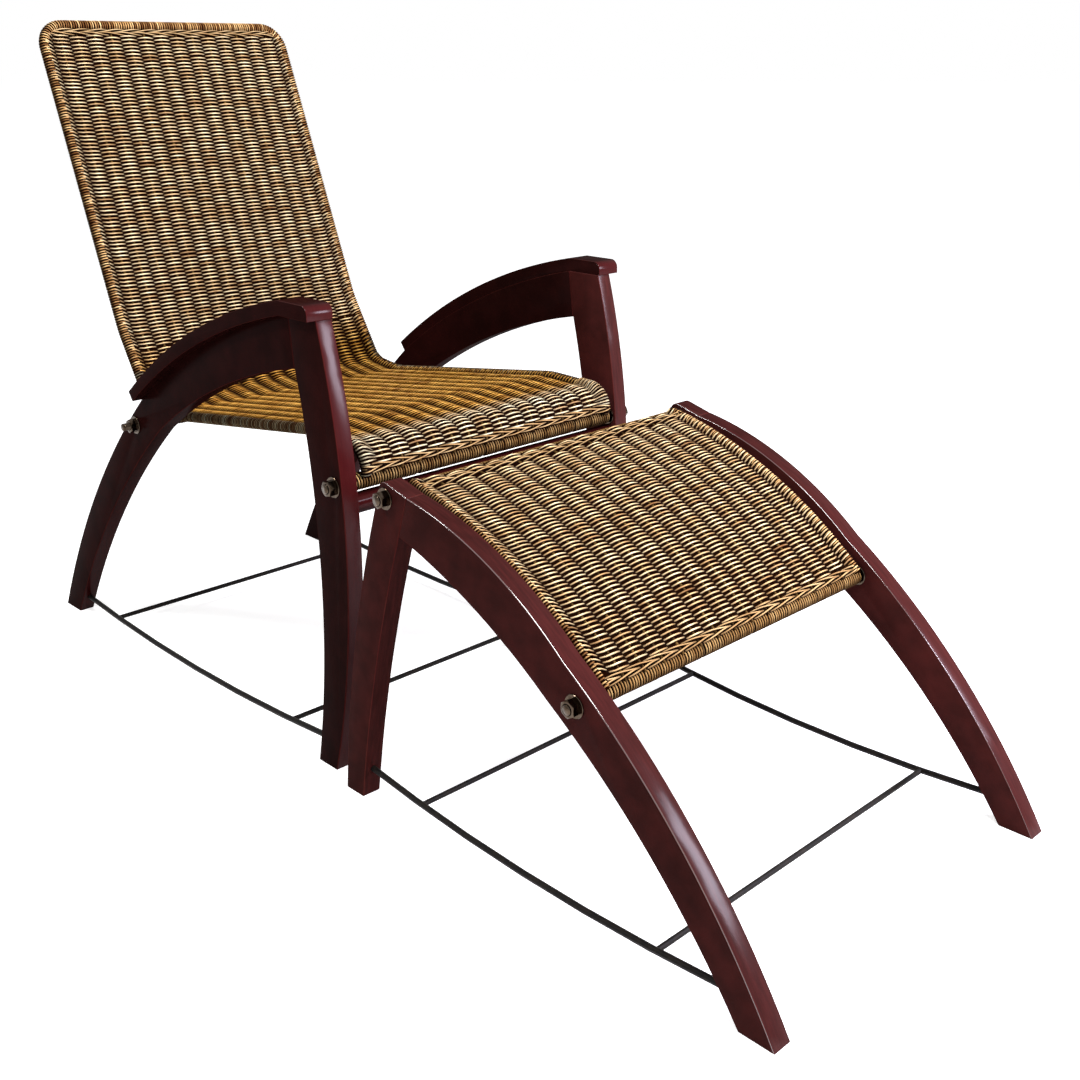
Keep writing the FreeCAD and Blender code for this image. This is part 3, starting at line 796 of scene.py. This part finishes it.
# The reed wound round a through rod, notched where each stake goes round it.
def makeRoll(node, body, panelSet, index):
    seed = panelSet["rollSeed"] + index
    low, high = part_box(node)
    centre = (low + high) / 2
    route = np.array([(low.x, centre.y, centre.z), (high.x, centre.y, centre.z)])
    dice = random.Random(seed)
    spread, deepest = rollWinding["notchSpread"], rollWinding["deepestNotch"]
    stakesAt = np.linspace(-panelSet["halfWidth"], panelSet["halfWidth"], panelSet["stakes"] + 2)[1:-1]
    notches = [(place - low.x + dice.gauss(0, spread), dice.uniform(0, deepest)) for place in stakesAt]
    radius = (high.z - low.z) / 2 - rollWinding["strand"]
    strands = windingTurns(route, radius, rollWinding, seed, notches)
    # Painted shade on the roll's underside, the side that faces away from the light.
    for strand in strands:
        shadeAway(strand, 0, rollWinding)
    makeWound(node + "_wrap", node + "_bar", strands, route, radius, rollWinding, body, node)


# Lines of the side view are (y, z) in mm. The seat's runs from the front edge under the lip to the top of
# the back. Its places are lengths along it, and the top ones are lengths back from the top edge
seatSet = {"line": [(-69, 426), (-75, 463), (45, 466), (433, 412), (499, 420), (569, 528), (763, 998)],
           "radii": [32 * mm, 150 * mm, 60 * mm, 40 * mm, 150 * mm], "cornerRadius": 38 * mm,
           "halfWidth": 226 * mm, "stakes": 14, "binding": 7.0 * mm, "wrap": 8.5 * mm,
           "border": 8.0 * mm, "secondBorder": 12.6 * mm, "weave": 13.5 * mm, "lip": 72.0 * mm,
           "foldShare": 0.555, "topBorder": 9.5 * mm, "secondTopBorder": 14.5 * mm, "topWeave": 16.5 * mm,
           "goldFrom": 50.0 * mm, "gold": 85.0 * mm, "beforeFold": 60.0 * mm, "afterFold": 30.0 * mm,
           "backGold": 0.25, "boundTo": 6.0 * mm, "darkShare": 0.95,
           "seed": 11, "bindingSeed": 21, "rollSeed": 51}
# The footrest's line runs from its high rear edge to the front edge. Places are lengths from the front
# edge, and the rear and end ones are lengths back from the rear edge
restSet = {"line": [(-186, 448.6), (-368.9, 388), (-517, 287.4)], "arcSteps": 24, "bendRadius": 300.0 * mm,
           "halfWidth": 246 * mm, "stakes": 14, "binding": 5.5 * mm, "gold": 0.35,
           "border": 4.5 * mm, "secondBorder": 9.5 * mm, "weave": 13.0 * mm,
           "rearBorder": 17.0 * mm, "secondRearBorder": 22.0 * mm, "rearWeave": 25.0 * mm,
           "endWeave": 14.0 * mm, "end": 4.0 * mm, "seed": 31, "bindingSeed": 41, "rollSeed": 61}


def sideLine(points):
    return [(y * mm, z * mm) for y, z in points]


# Points on the arc through three points of the side view.
def arcLine(points, count):
    (ay, az), (by, bz), (cy, cz) = points
    double = 2 * (ay * (bz - cz) + by * (cz - az) + cy * (az - bz))
    a, b, c = ay ** 2 + az ** 2, by ** 2 + bz ** 2, cy ** 2 + cz ** 2
    middleY = (a * (bz - cz) + b * (cz - az) + c * (az - bz)) / double
    middleZ = (a * (cy - by) + b * (ay - cy) + c * (by - ay)) / double
    radius = math.hypot(ay - middleY, az - middleZ)
    first = math.atan2(az - middleZ, ay - middleY)
    last = math.atan2(cz - middleZ, cy - middleY)
    angles = [lerp(first, last, index / count) for index in range(count + 1)]
    return [(middleY + radius * math.cos(angle), middleZ + radius * math.sin(angle)) for angle in angles]


def makeSeat():
    side = sideLine(seatSet["line"])
    halfWidth, corner, wrap = seatSet["halfWidth"], seatSet["cornerRadius"], seatSet["wrap"]
    surface = Surface(side, seatSet["radii"], halfWidth, seatSet["stakes"], corner)
    lip = seatSet["lip"]
    fold = seatSet["foldShare"] * surface.length
    top = surface.length
    borders = [(seatSet["border"], 1, wrap), (seatSet["secondBorder"], -1, wrap),
               (top - seatSet["topBorder"], 1, 0), (top - seatSet["secondTopBorder"], -1, 0)]
    parts = [("lip_weave", seatSet["weave"], lip, wrap), ("seat_weave", lip, fold, 0),
             ("back_weave", fold, top - seatSet["topWeave"], 0)]

    # Golden on the level part of the seat, paler at the lip and on the back.
    def warmth(s):
        onSeat = smoothStep(seatSet["goldFrom"], seatSet["gold"], s)
        onBack = smoothStep(fold - seatSet["beforeFold"], fold + seatSet["afterFold"], s)
        return float(onSeat * lerp(1, seatSet["backGold"], onBack))

    makePanel("seat", surface, "chair", "woven_seat_and_back", parts, borders, warmth, seatSet["seed"])
    corners = [(-halfWidth, y, z) for y, z in side] + [(halfWidth, y, z) for y, z in side[::-1]]
    hoop = roundedLine(corners, seatSet["radii"] + [corner, corner] + seatSet["radii"][::-1])
    # Along the seat the binding is grey with painted shade, up to the dark share of the fold.
    lengths = seatSet["boundTo"], lip, seatSet["darkShare"] * fold
    radius, seed = seatSet["binding"], seatSet["bindingSeed"]
    bindEdge("edge_binding", hoop, radius, seed, "chair", "seat_edge_frame", lengths)


def makeFootrest():
    halfWidth = restSet["halfWidth"]
    line = arcLine(sideLine(restSet["line"]), restSet["arcSteps"])[::-1]
    surface = Surface(line, [restSet["bendRadius"]] * (len(line) - 2), halfWidth, restSet["stakes"])
    rear = surface.length
    borders = [(restSet["border"], 1, 0), (restSet["secondBorder"], -1, 0),
               (rear - restSet["rearBorder"], -1, 0), (rear - restSet["secondRearBorder"], 1, 0)]
    parts = [("footrest_weave", restSet["weave"], rear - restSet["rearWeave"], 0),
             ("footrest_end_weave", rear - restSet["endWeave"], rear - restSet["end"], 0)]

    def warmth(s):
        return restSet["gold"]

    seed = restSet["seed"]
    makePanel("footrest", surface, "footrest", "footrest_woven_panel", parts, borders, warmth, seed)
    for index, (side, sign) in enumerate((("left", 1), ("right", -1))):
        route = np.array([(sign * halfWidth, y, z) for y, z in line])
        name = side + "_footrest_binding"
        node = side + "_footrest_edge_bar"
        bindEdge(name, route, restSet["binding"], restSet["bindingSeed"] + index, "footrest", node)


# Copies of CAD nodes: doubles closer than merge are joined, and faces flatter than flat become one
cadSet = {"merge": 0.01 * mm, "flat": math.radians(0.5), "sharp": math.radians(50)}


def cadCopy(node):
    mesh = nodes[node].data.copy()
    bm = bmesh.new()
    bm.from_mesh(mesh)
    bmesh.ops.remove_doubles(bm, verts=bm.verts, dist=cadSet["merge"])
    bmesh.ops.dissolve_limit(bm, angle_limit=cadSet["flat"], verts=bm.verts, edges=bm.edges)
    writeSmooth(bm, mesh)
    mesh.materials.clear()
    mesh.name = node
    return mesh


# Boards, whose rounded edges are worn and carry a painted highlight
softenSet = {"width": 2.0 * mm, "segments": 3, "angle": math.radians(40)}


def makeBoard(node, body, faceAndEdge):
    mesh = cadCopy(node)
    for wood in faceAndEdge:
        mesh.materials.append(wood)
    piece = linked(node + "_finished", mesh, body, node)
    soften = piece.modifiers.new("soften", "BEVEL")
    soften.width = softenSet["width"]
    soften.segments = softenSet["segments"]
    soften.limit_method = "ANGLE"
    soften.angle_limit = softenSet["angle"]
    soften.harden_normals = True
    soften.material = 1  # the wood of the edges


# Pieces that keep the solid's form: the stretchers, the round rail and the dowels.
def finishPlain(node, body, material):
    mesh = cadCopy(node)
    mesh.materials.append(material)
    mesh.set_sharp_from_angle(angle=cadSet["sharp"])
    linked(node + "_finished", mesh, body, node)


# Threaded rods, washers and hexagon nuts, turned about the rod's own line. A nut's turn, in degrees, goes
# from one flat to the next
hardwareSet = {"rodRadius": 6.0 * mm, "threadPitch": 1.75 * mm, "threadDepth": 0.45 * mm,
               "threadLength": 26.0 * mm, "endChamfer": 1.2 * mm,
               "rodSteps": 32, "rodSharp": math.radians(50),
               "washerRadius": 14.0 * mm, "washerBore": 6.4 * mm, "washerThickness": 2.0 * mm,
               "washerEase": 0.5 * mm, "nutFlat": 9.5 * mm, "nutHeight": 10.0 * mm, "nutChamfer": 0.9 * mm,
               "nutBaseShare": 0.6, "nutTopShare": 0.97, "nutBore": 6.2 * mm, "nutTurn": 60.0,
               "steps": 48, "sharp": math.radians(28), "cutTolerance": 1e-4 * mm,
               "chairSeed": 71, "footrestSeed": 72}


# Spins a profile of (distance along the rod, radius) about the rod's line, into the given mesh.
def turn(bm, profile, centre, direction, steps, closed=False):
    verts = [bm.verts.new((centre[0] + direction * along, centre[1], centre[2] + radius))
             for along, radius in profile]
    edges = [bm.edges.new(pair) for pair in zip(verts, verts[1:])]
    if closed:
        edges.append(bm.edges.new((verts[-1], verts[0])))
    bmesh.ops.spin(bm, geom=verts + edges, cent=centre, axis=(1, 0, 0), angle=math.tau, steps=steps,
                   use_merge=True)


# A steel piece of its own: merged, every face outwards, and only corners sharper than the angle kept.
def linkTurned(name, bm, sharp, body, node):
    bmesh.ops.remove_doubles(bm, verts=bm.verts, dist=mergeDistance)
    bmesh.ops.recalc_face_normals(bm, faces=bm.faces)
    mesh = bpy.data.meshes.new(name)
    mesh.materials.append(steelMaterial)
    writeSmooth(bm, mesh)
    mesh.set_sharp_from_angle(angle=sharp)
    linked(name, mesh, body, node)


# A turned ring with its corners eased, cut to six flats.
def makeNut(bm, centre, direction, twist):
    nut = bmesh.new()
    flat, height, ease = hardwareSet["nutFlat"], hardwareSet["nutHeight"], hardwareSet["nutChamfer"]
    bore = hardwareSet["nutBore"]
    corner = flat / math.cos(math.pi / 6)
    profile = [(0, bore), (0, flat), (ease * hardwareSet["nutBaseShare"], corner), (height - ease, corner),
               (height, flat * hardwareSet["nutTopShare"]), (height, bore + ease), (height - ease, bore)]
    turn(nut, profile, centre, direction, hardwareSet["steps"], closed=True)
    bmesh.ops.remove_doubles(nut, verts=nut.verts, dist=mergeDistance)
    for side in range(6):
        angle = math.radians(twist + hardwareSet["nutTurn"] * side)
        way = Vector((0, math.cos(angle), math.sin(angle)))
        cut = bmesh.ops.bisect_plane(nut, geom=nut.verts[:] + nut.edges[:] + nut.faces[:],
                                     dist=hardwareSet["cutTolerance"], plane_co=Vector(centre) + way * flat,
                                     plane_no=way, clear_outer=True)
        rim = [item for item in cut["geom_cut"] if isinstance(item, bmesh.types.BMEdge)]
        bmesh.ops.holes_fill(nut, edges=rim)
    mesh = bpy.data.meshes.new("nut")
    nut.to_mesh(mesh)
    nut.free()
    bm.from_mesh(mesh)
    bpy.data.meshes.remove(mesh)


def makeWasher(bm, centre, direction):
    radius, bore = hardwareSet["washerRadius"], hardwareSet["washerBore"]
    thick, ease = hardwareSet["washerThickness"], hardwareSet["washerEase"]
    profile = [(0, bore), (0, radius - ease), (ease, radius), (thick - ease, radius),
               (thick, radius - ease), (thick, bore)]
    turn(bm, profile, centre, direction, hardwareSet["steps"], closed=True)


# Half of a rod from its middle: plain, then threaded up to its chamfered end.
def rodProfile(length):
    radius, depth, pitch = hardwareSet["rodRadius"], hardwareSet["threadDepth"], hardwareSet["threadPitch"]
    chamfer = hardwareSet["endChamfer"]
    profile = [(0, radius)]
    start = length - hardwareSet["threadLength"]
    for index in range(int((length - chamfer - start) / pitch)):
        profile += [(start + index * pitch, radius), (start + (index + 0.5) * pitch, radius - depth)]
    return profile + [(length - chamfer, radius), (length, radius - chamfer), (length, 0)]


# The rods of one body, with a washer on each side of both boards and a nut outside. The washers' boxes
# give the boards' faces, and a rod's box gives half its length.
def makeHardware(body, prefix, rods):
    dice = random.Random(hardwareSet[body + "Seed"])
    outer, inner, nuts = bmesh.new(), bmesh.new(), bmesh.new()
    thick = hardwareSet["washerThickness"]
    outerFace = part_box(prefix + "outer_washers")[1].x - thick
    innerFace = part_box(prefix + "inner_washers")[1].x - thick
    for rod in rods:
        low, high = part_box(rod)
        y, z = (low.y + high.y) / 2, (low.z + high.z) / 2
        bm = bmesh.new()
        for direction in (-1, 1):
            makeWasher(outer, (direction * outerFace, y, z), direction)
            makeWasher(inner, (direction * innerFace, y, z), direction)
            twist = dice.uniform(0, hardwareSet["nutTurn"])
            makeNut(nuts, (direction * (outerFace + thick), y, z), direction, twist)
            turn(bm, rodProfile(high.x), (0, y, z), direction, hardwareSet["rodSteps"])
        linkTurned(rod + "_turned", bm, hardwareSet["rodSharp"], body, rod)
    for label, bm in (("outer_washers", outer), ("inner_washers", inner), ("hex_nuts", nuts)):
        node = prefix + label
        linkTurned(node + "_turned", bm, hardwareSet["sharp"], body, node)


makeCamera()
makeStudio()
print("camera and studio made")
makeSeat()
makeFootrest()
for index, node in enumerate(("seat_front_roll", "seat_rear_roll")):
    makeRoll(node, "chair", seatSet, index)
for index, node in enumerate(("footrest_rear_roll", "footrest_front_roll")):
    makeRoll(node, "footrest", restSet, index)
print("woven panels and rolls made")
for side in ("left_", "right_"):
    for node in ("front_leg", "arm_bow", "arm_cap"):
        makeBoard(side + node, "chair", woods["left_leg" if side + node == "left_front_leg" else "chair"])
    for node in ("footrest_rear_leg", "footrest_rail"):
        makeBoard(side + node, "footrest", woods["footrest"])
print("boards made")
makeHardware("chair", "", ("front_through_rod", "rear_through_rod"))
makeHardware("footrest", "footrest_", ("footrest_rear_rod", "footrest_front_rod"))
for node in list(nodes):
    if "stretcher" in node:
        finishPlain(node, "footrest" if "footrest" in node else "chair", ironMaterial)
    elif node == "front_rail" or "dowels" in node:
        finishPlain(node, "chair", woods["chair"][0])
print("hardware, stretchers, rail and dowels made")
